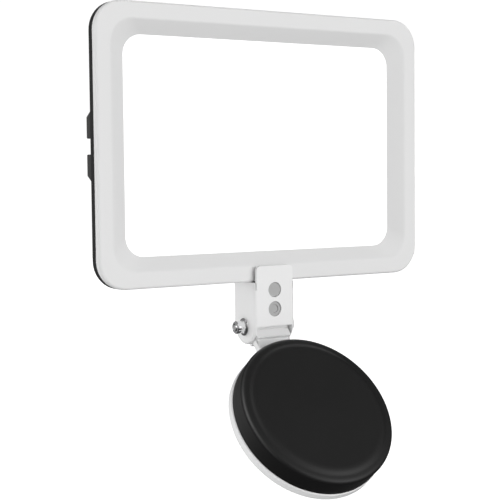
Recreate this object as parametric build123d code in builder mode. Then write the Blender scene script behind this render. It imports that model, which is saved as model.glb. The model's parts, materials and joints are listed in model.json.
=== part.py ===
from build123d import *
import os
from math import cos, radians, sin

# A small light table: an edge-lit panel in a white bevelled frame, held by a
# channel bracket and a friction hinge on a round magnetic pad.
# Origin: centre of the pad's black contact face. +X right, +Z up, the lit face looks along -Y.

os.makedirs("parts", exist_ok=True)

# ---- magnetic pad and base plate ----
pad_tilt = 40.26            # the contact face looks forward and this many degrees up
pad_radius = 53.5
pad_thickness = 16.0
pad_edge_round = 4.8
pad_face_wall = 2.2         # rubber over the magnets
pad_side_wall = 3.2
plate_radius = 54.0
plate_thickness = 6.2
plate_edge_break = 0.7
yoke_thickness = 4.0
core_fit = 0.2              # between the rubber cover and what it holds
magnet_radius = 10.0
magnet_pitch_radius = 33.0
magnet_count = 6
magnet_fit = 0.15
pad_screw_circle = 35.0     # radius of the screw circle
pad_screw_count = 3
pad_screw_head_radius = 4.0
m4_radius = 2.0
m3_radius = 1.5

# ---- hinge ----
hinge_reach = 76.1          # pad centre to hinge axis, measured along the plate
hinge_sink = 3.4            # hinge axis behind the plate's front face
bolt_radius = 2.5
bolt_running_fit = 0.05
bolt_clearance = 0.1
bush_wall = 1.45
knuckle_radius = 8.8
arm_front = 5.5             # arm surfaces either side of the hinge axis
arm_back = 5.6
arm_length = 12.8           # hinge axis to the arm's lower end
arm_slot_top = 7.0          # hinge axis to the slot that takes the plate's tab
slot_fit = 0.05
tab_groove_width = 1.3
tab_groove_depth = 0.5
tab_root_round = 6.0
arm_screw_spacing = 13.0
arm_screw_drop = 9.4
arm_screw_length = 8.9
arm_screw_head_radius = 2.9
washer_radius = 8.0
washer_thickness = 0.5
side_play = 0.05            # beside each friction washer
bolt_head_radius = 5.0
bolt_head_height = 5.0
head_washer_radius = 5.6
head_washer_thickness = 1.0
nut_flange_radius = 5.9
nut_flange_thickness = 1.3
nut_height = 7.2
nut_across_flats = 8.0
nut_hex_end = 5.0           # flange and hexagon together
nut_collar_radius = 3.9
bolt_end_beyond_nut = 0.5

# ---- channel bracket ----
bracket_width = 31.8
bracket_wall = 2.0
bracket_half_depth = 13.4   # hinge axis to the bracket's front and back faces
bracket_bend = 2.4
bracket_drop = 30.5         # panel's lower edge to the hinge axis
bracket_gap = 0.3           # panel's lower edge to the top of the cheeks
bracket_lap = 10.6          # front plate over the panel's frame
lap_corner = 3.0
lap_inset = 1.6             # lap is this much narrower on each side than the bracket
relief_width = 0.6          # slots beside the lap, where the sheet was bent
relief_depth = 5.0
cheek_round_lift = 1.6      # centre of the cheeks' round ends above the hinge axis
front_plate_end = -0.8      # front plate's lower edge below the hinge axis
rear_plate_end = 12.4       # rear plate's lower edge above the hinge axis
screw_pad_thickness = 3.0
screw_pad_width = 18.0
upper_screw_height = 25.0   # screw heights above the hinge axis
lower_screw_height = 12.2
bracket_screw_head_radius = 3.5
bracket_screw_head_height = 2.2
plug_radius = 4.9
plug_thickness = 1.5
plug_seat_depth = 2.2
plug_fit = 0.15
plug_recess_radius = 2.8
plug_recess_depth = 0.7
stem_side_fit = 0.3
stem_sweep_gap = 0.7        # spacer block to the turning knuckle

# ---- panel ----
panel_width = 251.0
panel_height = 178.8
panel_corner = 18.6
parting_ahead = 3.9         # frame and shell meet this far in front of the hinge axis
frame_front = 4.7           # frame's face in front of the parting plane
frame_edge_round = 1.8
frame_wall = 2.0
window_width = 208.4
window_height = 139.1
window_corner = 12.9
bevel_side = 11.0
bevel_top = 9.1
bevel_corner = 16.0
bevel_depth = 6.3
layer_gap = 0.1
diffuser_thickness = 2.0
guide_thickness = 3.0
reflector_thickness = 0.4
stack_lap = 4.0             # diffuser and guide reach past the window on each side
strip_thickness = 1.0
strip_height = 4.0
led_width = 3.0
led_depth = 0.8
led_height = 2.8
led_pitch = 12.0
led_count = 17
heat_plate_thickness = 1.2
heat_plate_margin = 4.0     # heat plate past the guide, left and right
heat_plate_lip = 2.2        # heat plate past the guide, top and bottom

# ---- rear shell ----
shell_rim = 4.8             # straight black rim behind the parting plane
shell_depth = 15.8
shell_shoulder = 2.5        # rim to the foot of the slope
shell_inset = 12.0          # rim to the flat back
shell_back_round = 2.5
shell_back_corner = 12.6
shell_slope_wall = 1.3      # measured across the panel, where the wall slopes
shell_wall = 2.0
post_radius = 4.5
post_gap = 0.1
case_screw_seat = 4.0       # screw heads sit this far behind the parting plane
case_screw_head_radius = 2.9
case_screw_head_height = 2.0
case_screw_recess_radius = 3.3
case_screw_length = 7.0
case_screw_end_gap = 0.4
case_boss_end = 2.0         # frame bosses end this far behind the parting plane
corner_post_inset_x = 11.0
corner_post_inset_z = 9.5
middle_post_spacing = 100.0
middle_post_inset_z = 8.0
support_post_radius = 3.0
support_post_x = 104.0
support_post_z = 63.0
vent_count = 9
vent_pitch = 9.0
vent_width = 2.0
vent_length = 22.0
vent_height = 44.0
foot_inset = 2.9
foot_width = 12.0
foot_length_at_root = 26.0
foot_length_at_top = 18.1
foot_notch = 4.95           # half of the gap between the two feet of a pair
foot_round = 1.4

# ---- inside the shell ----
stem_width = 24.0
stem_thickness = 3.0
stem_top = 34.0             # stem's upper end above the panel's lower edge
stem_screw_spacing = 12.0
stem_screw_height = 26.0
stem_screw_length = 4.2
stem_slot_fit = 0.15
board_x = 79.0
board_width = 38.0
board_height = 43.5
board_lift = 0.4
board_thickness = 1.2
board_edge = 10.5           # board's lower edge above the panel's lower edge
button_radius = 4.9
button_fit = 0.1
button_pitch = 12.5
button_height = 45.0        # buttons above the panel's lower edge
button_proud = 1.0
button_travel = 0.8
button_flange = 0.9
button_flange_thickness = 0.8
switch_size = 6.0
switch_height = 1.4
socket_width = 8.94
socket_height = 3.26
socket_length = 7.3
socket_wall = 0.35
socket_fit = 0.1
socket_inset = 8.8          # mouth of the charging socket above the panel's lower edge
battery_x = -55.0
battery_width = 70.0
battery_height = 55.0
battery_thickness = 4.5
wire_radius = 0.6

# ---- places worked out from the sizes above ----
tilt = radians(pad_tilt)
base_plane = Plane(origin=(0, 0, 0), x_dir=(1, 0, 0), z_dir=(0, -cos(tilt), sin(tilt)))
plate_front = -pad_thickness
plate_back = plate_front - plate_thickness
hinge = base_plane.from_local_coords(Vector(0, hinge_reach, plate_front - hinge_sink))
# arm sketches: x is towards the pad's face, y runs from the hinge down to the pad
arm_plane = Plane(origin=hinge, x_dir=(0, -cos(tilt), sin(tilt)), z_dir=(1, 0, 0))
panel_bottom = hinge.Z + bracket_drop
panel_plane = Plane(
    origin=(0, hinge.Y - parting_ahead, panel_bottom + panel_height / 2),
    x_dir=(1, 0, 0),
    z_dir=(0, -1, 0),
)
# bracket sketches: x is +Y and y is +Z, both measured from the hinge axis
side_plane = Plane(origin=hinge, x_dir=(0, 1, 0), z_dir=(1, 0, 0))
cheek_inside = bracket_width / 2 - bracket_wall
lap_width = bracket_width - 2 * lap_inset
arm_half_width = cheek_inside - washer_thickness - 2 * side_play
tab_back = hinge_sink - plate_thickness
bush_radius = bolt_radius + bolt_running_fit + bush_wall
nut_end = bracket_width / 2 + nut_height
bolt_end = nut_end + bolt_end_beyond_nut
head_seat = bracket_width / 2 + head_washer_thickness

window_front = frame_front - bevel_depth
diffuser_front = window_front - layer_gap
diffuser_back = diffuser_front - diffuser_thickness
guide_front = diffuser_back - layer_gap
guide_back = guide_front - guide_thickness
reflector_front = guide_back - layer_gap
reflector_back = reflector_front - reflector_thickness
heat_front = reflector_back - layer_gap
heat_back = heat_front - heat_plate_thickness
shell_inside = -(shell_depth - shell_wall)
stack_width = window_width + 2 * stack_lap
stack_height = window_height + 2 * stack_lap
stack_corner = 3.0
bracket_front = bracket_half_depth - parting_ahead      # front plate's face above the parting plane
bracket_inside = bracket_front - bracket_wall
pad_inside = bracket_inside - screw_pad_thickness
stem_front = heat_back - layer_gap
stem_back = stem_front - stem_thickness
board_front = heat_back - board_lift
board_back = board_front - board_thickness
inlet_y = hinge.Y - parting_ahead - board_back + socket_height / 2
lower_edge = -panel_height / 2                          # panel sketches: y of the lower edge
hinge_y = lower_edge - bracket_drop
screw_heights = [hinge_y + upper_screw_height, hinge_y + lower_screw_height]
button_places = [(board_x + step * button_pitch, lower_edge + button_height) for step in (-1, 0, 1)]
corner_posts = [
    (sx * (panel_width / 2 - corner_post_inset_x), sz * (panel_height / 2 - corner_post_inset_z))
    for sx in (-1, 1)
    for sz in (-1, 1)
]
middle_posts = [
    (sx * middle_post_spacing / 2, sz * (panel_height / 2 - middle_post_inset_z))
    for sx in (-1, 1)
    for sz in (-1, 1)
]
post_places = corner_posts + middle_posts
support_places = [(sx * support_post_x, sz * support_post_z) for sx in (-1, 1) for sz in (-1, 1)]


def ring(radius, count, start):
    """Points evenly spaced round a circle, the first at start degrees."""
    angles = [radians(start + step * 360 / count) for step in range(count)]
    return [(radius * cos(angle), radius * sin(angle)) for angle in angles]


magnet_places = ring(magnet_pitch_radius, magnet_count, 30)
pad_screw_places = ring(pad_screw_circle, pad_screw_count, 90)
# screws that enter from the back of the plate: the plane faces backwards, so its y runs down
back_plane = Plane(
    origin=base_plane.offset(plate_back).origin, x_dir=(1, 0, 0), z_dir=(0, cos(tilt), -sin(tilt))
)
pad_screw_backs = ring(pad_screw_circle, pad_screw_count, -90)
arm_back_plane = Plane(
    origin=base_plane.offset(plate_front - hinge_sink - arm_back).origin,
    x_dir=(1, 0, 0),
    z_dir=(0, cos(tilt), -sin(tilt)),
)
arm_screw_places = [(sx * arm_screw_spacing / 2, arm_screw_drop - hinge_reach) for sx in (-1, 1)]
top_down = (Align.CENTER, Align.CENTER, Align.MAX)
bottom_up = (Align.CENTER, Align.CENTER, Align.MIN)


def pad_level(height):
    """A sketch plane parallel to the contact face, height in front of it."""
    return base_plane.offset(height)


def panel_level(front):
    """A sketch plane parallel to the lit face, front ahead of the parting plane."""
    return panel_plane.offset(front)


def outline(level, width, height, corner):
    """A rounded rectangle of the panel's proportions at one level."""
    with BuildSketch(panel_level(level)) as shape:
        RectangleRounded(width, height, corner)
    return shape.sketch


def finish(piece, name):
    """Label one finished piece and write it."""
    piece.label = name
    export_step(piece, f"parts/{name}.step")


# ================= magnetic pad =================
with BuildPart() as pad_cover:
    with BuildSketch(pad_level(-pad_thickness)):
        Circle(pad_radius)
    extrude(amount=pad_thickness)
    fillet(pad_cover.edges().sort_by(Axis(base_plane.origin, base_plane.z_dir))[-1], pad_edge_round)
    with BuildSketch(pad_level(-pad_thickness)):
        Circle(pad_radius - pad_side_wall)
    extrude(amount=pad_thickness - pad_face_wall, mode=Mode.SUBTRACT)
finish(pad_cover.part, "pad_cover")

core_radius = pad_radius - pad_side_wall - core_fit
carrier_top = -pad_face_wall - core_fit

with BuildPart() as yoke_plate:
    with BuildSketch(pad_level(plate_front)):
        Circle(core_radius)
        with Locations(*pad_screw_places):
            Circle(m4_radius, mode=Mode.SUBTRACT)
    extrude(amount=yoke_thickness)
finish(yoke_plate.part, "yoke_plate")

with BuildPart() as magnet_carrier:
    with BuildSketch(pad_level(plate_front + yoke_thickness)):
        Circle(core_radius)
        with Locations(*magnet_places):
            Circle(magnet_radius + magnet_fit, mode=Mode.SUBTRACT)
    extrude(amount=carrier_top - plate_front - yoke_thickness)
finish(magnet_carrier.part, "magnet_carrier")

with BuildPart() as magnets:
    with BuildSketch(pad_level(plate_front + yoke_thickness)):
        with Locations(*magnet_places):
            Circle(magnet_radius)
    extrude(amount=carrier_top - plate_front - yoke_thickness)
finish(magnets.part, "magnets")

# ================= base plate: white disc and its tab =================
with BuildPart() as base_plate:
    with BuildSketch(pad_level(plate_back)) as plate_outline:
        Circle(plate_radius)
        with Locations((0, (hinge_reach - arm_slot_top) / 2)):
            Rectangle(2 * arm_half_width, hinge_reach - arm_slot_top)
        fillet(plate_outline.vertices().group_by(Axis.Y)[-2], tab_root_round)
    extrude(amount=plate_thickness)
    rim = base_plate.edges().filter_by(GeomType.CIRCLE).filter_by(lambda e: e.radius > plate_radius - 1)
    chamfer(rim, plate_edge_break)
    with Locations(back_plane):
        with Locations(*pad_screw_backs):
            CounterSinkHole(m4_radius + bolt_clearance, pad_screw_head_radius, depth=plate_thickness,
                            counter_sink_angle=90)
    with Locations(arm_back_plane):
        with Locations(*arm_screw_places):
            Cylinder(m3_radius, arm_screw_length, align=top_down, mode=Mode.SUBTRACT)
    # groove across the tab just below the arm
    with BuildSketch(arm_plane):
        with Locations((hinge_sink, arm_length + tab_groove_width / 2)):
            Rectangle(2 * tab_groove_depth, tab_groove_width)
    extrude(amount=arm_half_width, both=True, mode=Mode.SUBTRACT)
finish(base_plate.part, "base_plate")

with BuildPart() as pad_screws:
    with Locations(back_plane):
        with Locations(*pad_screw_backs):
            Cylinder(m4_radius, plate_thickness + yoke_thickness - core_fit, align=top_down)
            Cone(m4_radius, pad_screw_head_radius, pad_screw_head_radius - m4_radius, align=top_down)
            Cylinder(m4_radius - 0.5, 1.2, align=top_down, mode=Mode.SUBTRACT)
finish(pad_screws.part, "pad_screws")

# ================= hinge arm, its bush and screws =================
with BuildPart() as hinge_arm:
    with BuildSketch(arm_plane):
        Circle(knuckle_radius)
        with Locations(((arm_front - arm_back) / 2, arm_length / 2)):
            Rectangle(arm_front + arm_back, arm_length)
        Circle(bush_radius, mode=Mode.SUBTRACT)
    extrude(amount=arm_half_width, both=True)
    lower_edges = hinge_arm.edges().filter_by(Axis.X).sort_by(Axis(hinge, -base_plane.y_dir))[-2:]
    fillet(lower_edges, 0.9)
    # slot for the plate's tab
    with BuildSketch(arm_plane):
        with Locations((hinge_sink - plate_thickness / 2, (arm_slot_top + arm_length) / 2)):
            Rectangle(plate_thickness + 2 * slot_fit, arm_length - arm_slot_top)
    extrude(amount=arm_half_width, both=True, mode=Mode.SUBTRACT)
    with Locations(arm_back_plane):
        with Locations(*arm_screw_places):
            CounterSinkHole(m3_radius + bolt_clearance, arm_screw_head_radius,
                            depth=arm_back + tab_back, counter_sink_angle=90)
finish(hinge_arm.part, "hinge_arm")

with BuildPart() as arm_screws:
    with Locations(arm_back_plane):
        with Locations(*arm_screw_places):
            Cylinder(m3_radius, arm_screw_length, align=top_down)
            Cone(m3_radius, arm_screw_head_radius, arm_screw_head_radius - m3_radius, align=top_down)
            Cylinder(m3_radius - 0.4, 1.0, align=top_down, mode=Mode.SUBTRACT)
finish(arm_screws.part, "arm_screws")

with BuildPart() as hinge_bush:
    with BuildSketch(arm_plane):
        Circle(bush_radius)
        Circle(bolt_radius + bolt_running_fit, mode=Mode.SUBTRACT)
    extrude(amount=arm_half_width, both=True)
finish(hinge_bush.part, "hinge_bush")

# ================= hinge bolt, nut and washers =================
with BuildPart() as friction_washers:
    for side in (-1, 1):
        with BuildSketch(side_plane.offset(side * (arm_half_width + side_play + washer_thickness / 2))):
            Circle(washer_radius)
            Circle(bolt_radius + bolt_clearance, mode=Mode.SUBTRACT)
        extrude(amount=washer_thickness / 2, both=True)
finish(friction_washers.part, "friction_washers")

with BuildPart() as hinge_bolt:
    with BuildSketch(side_plane.offset(-bolt_end)):
        Circle(bolt_radius)
    extrude(amount=bolt_end + head_seat)
    with BuildSketch(side_plane.offset(head_seat)):
        Circle(bolt_head_radius)
    extrude(amount=bolt_head_height)
    ends = hinge_bolt.edges().filter_by(GeomType.CIRCLE).sort_by(Axis.X)
    chamfer(ends[0], 0.6)
    fillet(ends[-1], 1.2)
finish(hinge_bolt.part, "hinge_bolt")

with BuildPart() as head_washer:
    with BuildSketch(side_plane.offset(bracket_width / 2)):
        Circle(head_washer_radius)
        Circle(bolt_radius + bolt_clearance, mode=Mode.SUBTRACT)
    extrude(amount=head_washer_thickness)
finish(head_washer.part, "head_washer")

with BuildPart() as flange_nut:
    with BuildSketch(side_plane.offset(-bracket_width / 2)):
        Circle(nut_flange_radius)
    extrude(amount=-nut_flange_thickness)
    chamfer(flange_nut.edges().sort_by(Axis.X)[0], nut_flange_thickness * 0.6)
    with BuildSketch(side_plane.offset(-bracket_width / 2 - nut_flange_thickness / 2)):
        RegularPolygon(nut_across_flats / 2, 6, major_radius=False)
    extrude(amount=nut_flange_thickness / 2 - nut_hex_end)
    with BuildSketch(side_plane.offset(-bracket_width / 2 - nut_hex_end)):
        Circle(nut_collar_radius)
    extrude(amount=nut_hex_end - nut_height)
    with BuildSketch(side_plane):
        Circle(bolt_radius)
    extrude(amount=-bolt_end, mode=Mode.SUBTRACT)
finish(flange_nut.part, "flange_nut")

# ================= channel bracket =================
with BuildPart() as bracket:
    cheek_top = bracket_drop - bracket_gap
    with BuildSketch(side_plane):
        with Locations((0, cheek_round_lift)):
            Circle(bracket_half_depth)
        with Locations((0, cheek_round_lift)):
            Rectangle(2 * bracket_half_depth, cheek_top - cheek_round_lift, align=(Align.CENTER, Align.MIN))
    extrude(amount=bracket_width / 2, both=True)
    fillet(bracket.edges().filter_by(Axis.Z).filter_by(lambda e: e.length > bracket_wall), bracket_bend)
    with BuildSketch(side_plane):
        with Locations((0, cheek_top / 2)):
            Rectangle(2 * (bracket_half_depth - bracket_wall), 2 * cheek_top + 4 * bracket_half_depth)
        with Locations((0, -front_plate_end)):
            Rectangle(4 * bracket_half_depth, 4 * bracket_half_depth, align=(Align.CENTER, Align.MAX))
        with Locations((0, rear_plate_end)):
            Rectangle(2 * bracket_half_depth, 4 * bracket_half_depth, align=(Align.MIN, Align.MAX))
    extrude(amount=cheek_inside, both=True, mode=Mode.SUBTRACT)
    # lap over the front of the frame
    with BuildSketch(panel_level(bracket_inside)) as lap:
        with Locations((0, lower_edge - bracket_gap)):
            Rectangle(lap_width, bracket_lap + bracket_gap, align=(Align.CENTER, Align.MIN))
        fillet(lap.vertices().group_by(Axis.Y)[-1], lap_corner)
    extrude(amount=bracket_wall)
    with BuildSketch(panel_level(bracket_front)):
        with Locations((0, hinge_y + cheek_top)):
            with GridLocations(lap_width + relief_width, 1, 2, 1):
                Rectangle(relief_width, relief_depth, align=(Align.CENTER, Align.MAX))
    extrude(amount=-bracket_bend, mode=Mode.SUBTRACT)
    # thicker pad behind the front plate, where the screws clamp
    with BuildSketch(panel_level(pad_inside)):
        with Locations((0, hinge_y + rear_plate_end - stem_sweep_gap - plug_radius)):
            Rectangle(screw_pad_width, cheek_top - rear_plate_end + stem_sweep_gap + plug_radius,
                      align=(Align.CENTER, Align.MIN))
    extrude(amount=screw_pad_thickness)
    with Locations(panel_level(bracket_front)):
        with Locations(*[(0, height) for height in screw_heights]):
            Cylinder(plug_radius + plug_fit, plug_seat_depth, align=top_down, mode=Mode.SUBTRACT)
            Cylinder(bracket_screw_head_radius + plug_fit, plug_seat_depth + bracket_screw_head_height,
                     align=top_down, mode=Mode.SUBTRACT)
            Cylinder(m4_radius + plug_fit, 2 * (bracket_wall + screw_pad_thickness),
                     align=top_down, mode=Mode.SUBTRACT)
    with BuildSketch(side_plane):
        Circle(bolt_radius + bolt_clearance)
    extrude(amount=bracket_width, both=True, mode=Mode.SUBTRACT)
finish(bracket.part, "bracket")

plug_front = bracket_front - plug_seat_depth + plug_thickness
for name, height, recess in (
    ("upper_plug", screw_heights[0], 0),
    ("lower_plug", screw_heights[1], plug_recess_depth),
):
    with BuildPart() as plug:
        with Locations(panel_level(plug_front)):
            with Locations((0, height)):
                Cylinder(plug_radius, plug_thickness, align=top_down)
                chamfer(plug.edges().sort_by(Axis.Y)[0], 0.25)
                if recess:
                    Cylinder(plug_recess_radius, recess, align=top_down, mode=Mode.SUBTRACT)
    finish(plug.part, name)

head_front = bracket_front - plug_seat_depth
with BuildPart() as bracket_screws:
    with Locations(panel_level(head_front)):
        with Locations(*[(0, height) for height in screw_heights]):
            Cylinder(bracket_screw_head_radius, bracket_screw_head_height, align=top_down)
            Cylinder(m4_radius, head_front - stem_back, align=top_down)
            Cylinder(m4_radius - 0.3, 1.2, align=top_down, mode=Mode.SUBTRACT)
finish(bracket_screws.part, "bracket_screws")

with BuildPart() as spacer_block:
    with BuildSketch(panel_level(stem_front)):
        with Locations((0, lower_edge - bracket_gap)):
            Rectangle(2 * (cheek_inside - stem_side_fit), bracket_drop - bracket_gap,
                      align=(Align.CENTER, Align.MAX))
    extrude(amount=pad_inside - stem_front)
    with Locations(panel_level(pad_inside)):
        with Locations(*[(0, height) for height in screw_heights]):
            Cylinder(m4_radius + plug_fit, pad_inside - stem_front, align=top_down, mode=Mode.SUBTRACT)
    with BuildSketch(side_plane):
        Circle(knuckle_radius + stem_sweep_gap)
        with Locations((0, knuckle_radius * 0.86)):
            Rectangle(6 * bracket_half_depth, 6 * bracket_half_depth, align=(Align.CENTER, Align.MAX))
    extrude(amount=bracket_width, both=True, mode=Mode.SUBTRACT)
finish(spacer_block.part, "spacer_block")

with BuildPart() as stem_plate:
    with BuildSketch(panel_level(stem_back)) as stem:
        with Locations((0, hinge_y + knuckle_radius + stem_sweep_gap)):
            Rectangle(stem_width, stem_top + bracket_drop - knuckle_radius - stem_sweep_gap,
                      align=(Align.CENTER, Align.MIN))
        fillet(stem.vertices().group_by(Axis.Y)[-1], lap_corner)
        with Locations(*[(0, height) for height in screw_heights]):
            Circle(m4_radius, mode=Mode.SUBTRACT)
        with Locations((0, lower_edge + stem_screw_height)):
            with GridLocations(stem_screw_spacing, 1, 2, 1):
                Circle(m3_radius + bolt_clearance, mode=Mode.SUBTRACT)
    extrude(amount=stem_thickness)
finish(stem_plate.part, "stem_plate")

with BuildPart() as stem_screws:
    with Locations(panel_plane.offset(stem_back)):
        with Locations((0, lower_edge + stem_screw_height)):
            with GridLocations(stem_screw_spacing, 1, 2, 1):
                Cylinder(m3_radius, stem_screw_length, align=bottom_up)
                Cylinder(case_screw_head_radius, 1.6, align=top_down)
finish(stem_screws.part, "stem_screws")

# ================= front frame =================
with BuildPart() as funnel:
    loft([
        outline(window_front, window_width, window_height, window_corner),
        outline(frame_front, window_width + 2 * bevel_side, window_height + 2 * bevel_top, bevel_corner),
    ], ruled=True)

with BuildPart() as funnel_wall:
    loft([
        outline(window_front, window_width + 2 * frame_wall, window_height + 2 * frame_wall,
                window_corner + frame_wall),
        outline(frame_front - frame_wall / 2, window_width + 2 * (bevel_side + frame_wall),
                window_height + 2 * (bevel_top + frame_wall), bevel_corner + frame_wall),
    ], ruled=True)

with BuildPart() as front_frame:
    extrude(outline(0, panel_width, panel_height, panel_corner), amount=frame_front)
    fillet(front_frame.faces().sort_by(Axis.Y)[0].edges(), frame_edge_round)
    extrude(
        outline(0, panel_width - 2 * frame_wall, panel_height - 2 * frame_wall, panel_corner - frame_wall),
        amount=frame_front - frame_wall,
        mode=Mode.SUBTRACT,
    )
    add(funnel_wall.part)
    with Locations(panel_level(-case_boss_end)):
        with Locations(*post_places):
            Cylinder(post_radius, case_boss_end + frame_front - frame_wall, align=bottom_up)
            Cylinder(m3_radius, case_screw_length - case_screw_seat + case_boss_end + case_screw_end_gap,
                     align=bottom_up, mode=Mode.SUBTRACT)
    add(funnel.part, mode=Mode.SUBTRACT)
    # keep the outside edge of every boss inside the side wall
    with BuildSketch(panel_level(-case_boss_end)):
        RectangleRounded(panel_width + 20, panel_height + 20, panel_corner)
        RectangleRounded(panel_width - 2 * (frame_wall + post_gap), panel_height - 2 * (frame_wall + post_gap),
                         panel_corner - frame_wall, mode=Mode.SUBTRACT)
    extrude(amount=case_boss_end, mode=Mode.SUBTRACT)
finish(front_frame.part, "front_frame")

# ================= light stack =================
for name, back, thickness in (
    ("diffuser", diffuser_back, diffuser_thickness),
    ("light_guide", guide_back, guide_thickness),
    ("reflector", reflector_back, reflector_thickness),
):
    with BuildPart() as sheet:
        extrude(outline(back, stack_width, stack_height, stack_corner), amount=thickness)
    finish(sheet.part, name)

with BuildPart() as heat_plate:
    extrude(
        outline(heat_back, stack_width + 2 * heat_plate_margin, stack_height + 2 * heat_plate_lip,
                stack_corner),
        amount=heat_plate_thickness,
    )
    with Locations(panel_level(heat_back)):
        with Locations((0, lower_edge + stem_screw_height)):
            with GridLocations(stem_screw_spacing, 1, 2, 1):
                Cylinder(m3_radius, 4 * heat_plate_thickness, mode=Mode.SUBTRACT)
finish(heat_plate.part, "heat_plate")

led_centre = guide_front - guide_thickness / 2
edge_of_guide = stack_height / 2 + layer_gap
with BuildPart() as led_strips:
    for side in (-1, 1):
        with Locations(panel_level(led_centre)):
            with Locations((0, side * (edge_of_guide + led_depth + strip_thickness / 2))):
                Box(stack_width - 2, strip_thickness, strip_height)
finish(led_strips.part, "led_strips")

with BuildPart() as leds:
    for side in (-1, 1):
        with Locations(panel_level(led_centre)):
            with Locations((0, side * (edge_of_guide + led_depth / 2))):
                with GridLocations(led_pitch, 1, led_count, 1):
                    Box(led_width, led_depth, led_height)
finish(leds.part, "leds")

# ================= rear shell =================
def shell_form(rim_inset, slope_inset, rim_back, back, back_round):
    """The shell's outer or inner form: straight rim, slope and flat back."""

    def section(level, inset, corner):
        return outline(level, panel_width - 2 * inset, panel_height - 2 * inset, corner)

    with BuildPart() as form:
        extrude(section(0, rim_inset, panel_corner - rim_inset), amount=rim_back)
        shoulder = shell_shoulder + slope_inset
        loft([
            section(rim_back, shoulder, panel_corner - shoulder),
            section(back, shell_inset + slope_inset, shell_back_corner - slope_inset),
        ], ruled=True)
        fillet(form.faces().sort_by(Axis.Y)[-1].edges(), back_round)
    return form.part


shell_outside = shell_form(0, 0, -shell_rim, -shell_depth, shell_back_round)
shell_cavity = shell_form(
    shell_wall, shell_slope_wall, shell_wall - shell_rim, shell_inside, shell_back_round - shell_slope_wall
)

with BuildPart() as shell_posts:
    with Locations(panel_level(-case_boss_end - post_gap)):
        with Locations(*post_places):
            Cylinder(post_radius, shell_depth, align=top_down)
    with Locations(panel_level(heat_back - layer_gap)):
        with Locations(*support_places):
            Cylinder(support_post_radius, shell_depth, align=top_down)

with BuildPart() as back_shell:
    add(shell_outside)
    add(shell_cavity - shell_posts.part, mode=Mode.SUBTRACT)
    with Locations(panel_level(0)):
        with Locations(*post_places):
            Cylinder(m3_radius + bolt_clearance, 3 * shell_depth, mode=Mode.SUBTRACT)
    with Locations(panel_level(-case_screw_seat)):
        with Locations(*post_places):
            Cylinder(case_screw_recess_radius, shell_depth, align=top_down, mode=Mode.SUBTRACT)
    # slot where the stem comes out of the lower slope
    with BuildSketch(panel_level(stem_back - stem_slot_fit)):
        with Locations((0, lower_edge)):
            Rectangle(stem_width + 2 * stem_slot_fit, 3 * shell_inset)
    extrude(amount=stem_thickness + 2 * stem_slot_fit, mode=Mode.SUBTRACT)
    # cooling slots near the top
    with Locations(panel_level(-shell_depth)):
        with Locations((0, vent_height)):
            with GridLocations(vent_pitch, 1, vent_count, 1):
                Box(vent_width, vent_length, 4 * shell_wall, mode=Mode.SUBTRACT)
    # button holes
    with Locations(panel_level(-shell_depth)):
        with Locations(*button_places):
            Cylinder(button_radius + button_fit, 4 * shell_wall, mode=Mode.SUBTRACT)
    # charging inlet in the lower slope
    with BuildSketch(Plane.XY.offset(panel_bottom)):
        with Locations((board_x, inlet_y)):
            RectangleRounded(socket_width + 2 * socket_fit, socket_height + 2 * socket_fit,
                             socket_height / 2 + socket_fit - 0.01)
    extrude(amount=socket_inset + socket_length + socket_fit, mode=Mode.SUBTRACT)
finish(back_shell.part, "back_shell")

with BuildPart() as case_screws:
    with Locations(panel_level(-case_screw_seat)):
        with Locations(*post_places):
            Cylinder(m3_radius, case_screw_length, align=bottom_up)
            Cylinder(case_screw_head_radius, case_screw_head_height, align=top_down)
finish(case_screws.part, "case_screws")

# ================= rest feet: two pairs of lugs, each pair with a notch between =================
foot_tip = bracket_half_depth + parting_ahead           # level with the bracket's back
foot_plane = Plane(origin=panel_plane.origin, x_dir=(0, 1, 0), z_dir=(1, 0, 0))

with BuildPart() as rest_feet:
    for side in (-1, 1):
        for end in (-1, 1):
            outer_face = side * (panel_width / 2 - foot_inset)
            with BuildSketch(foot_plane.offset(outer_face)):
                Polygon(
                    (shell_rim, end * foot_notch),
                    (foot_tip, end * foot_notch),
                    (foot_tip, end * foot_length_at_top),
                    (shell_rim, end * foot_length_at_root),
                    align=None,
                )
            extrude(amount=-side * foot_width)
    fillet(rest_feet.edges().filter_by(Axis.Z).group_by(Axis.Y)[-1], foot_round)
    fillet(rest_feet.edges().filter_by(Axis.X).group_by(Axis.Y)[-1], foot_round / 2)
    add(shell_outside, mode=Mode.SUBTRACT)
finish(rest_feet.part, "rest_feet")

# ================= electronics =================
board_bottom = lower_edge + board_edge
with BuildPart() as driver_board:
    with BuildSketch(panel_level(board_back)):
        with Locations((board_x, board_bottom)):
            Rectangle(board_width, board_height, align=(Align.CENTER, Align.MIN))
    extrude(amount=board_thickness)
finish(driver_board.part, "driver_board")

with BuildPart() as board_components:
    with Locations(panel_level(board_back)):
        with Locations((board_x - 11, board_bottom + 16)):
            Box(8, 8, 2.8, align=top_down)
        with Locations((board_x + 2, board_bottom + 15)):
            Box(5, 5, 1, align=top_down)
        with Locations((board_x + 12, board_bottom + 12), (board_x + 12, board_bottom + 20)):
            Cylinder(2.5, 2.6, align=top_down)
        with Locations((board_x - 4, board_bottom + 23)):
            with GridLocations(4, 1, 4, 1):
                Box(1.6, 0.8, 0.7, align=top_down)
finish(board_components.part, "board_components")

with BuildPart() as switches:
    with Locations(panel_level(board_back)):
        with Locations(*button_places):
            Box(switch_size, switch_size, switch_height * 0.75, align=top_down)
            Cylinder(switch_size / 4, switch_height, align=top_down)
finish(switches.part, "switches")

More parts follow.
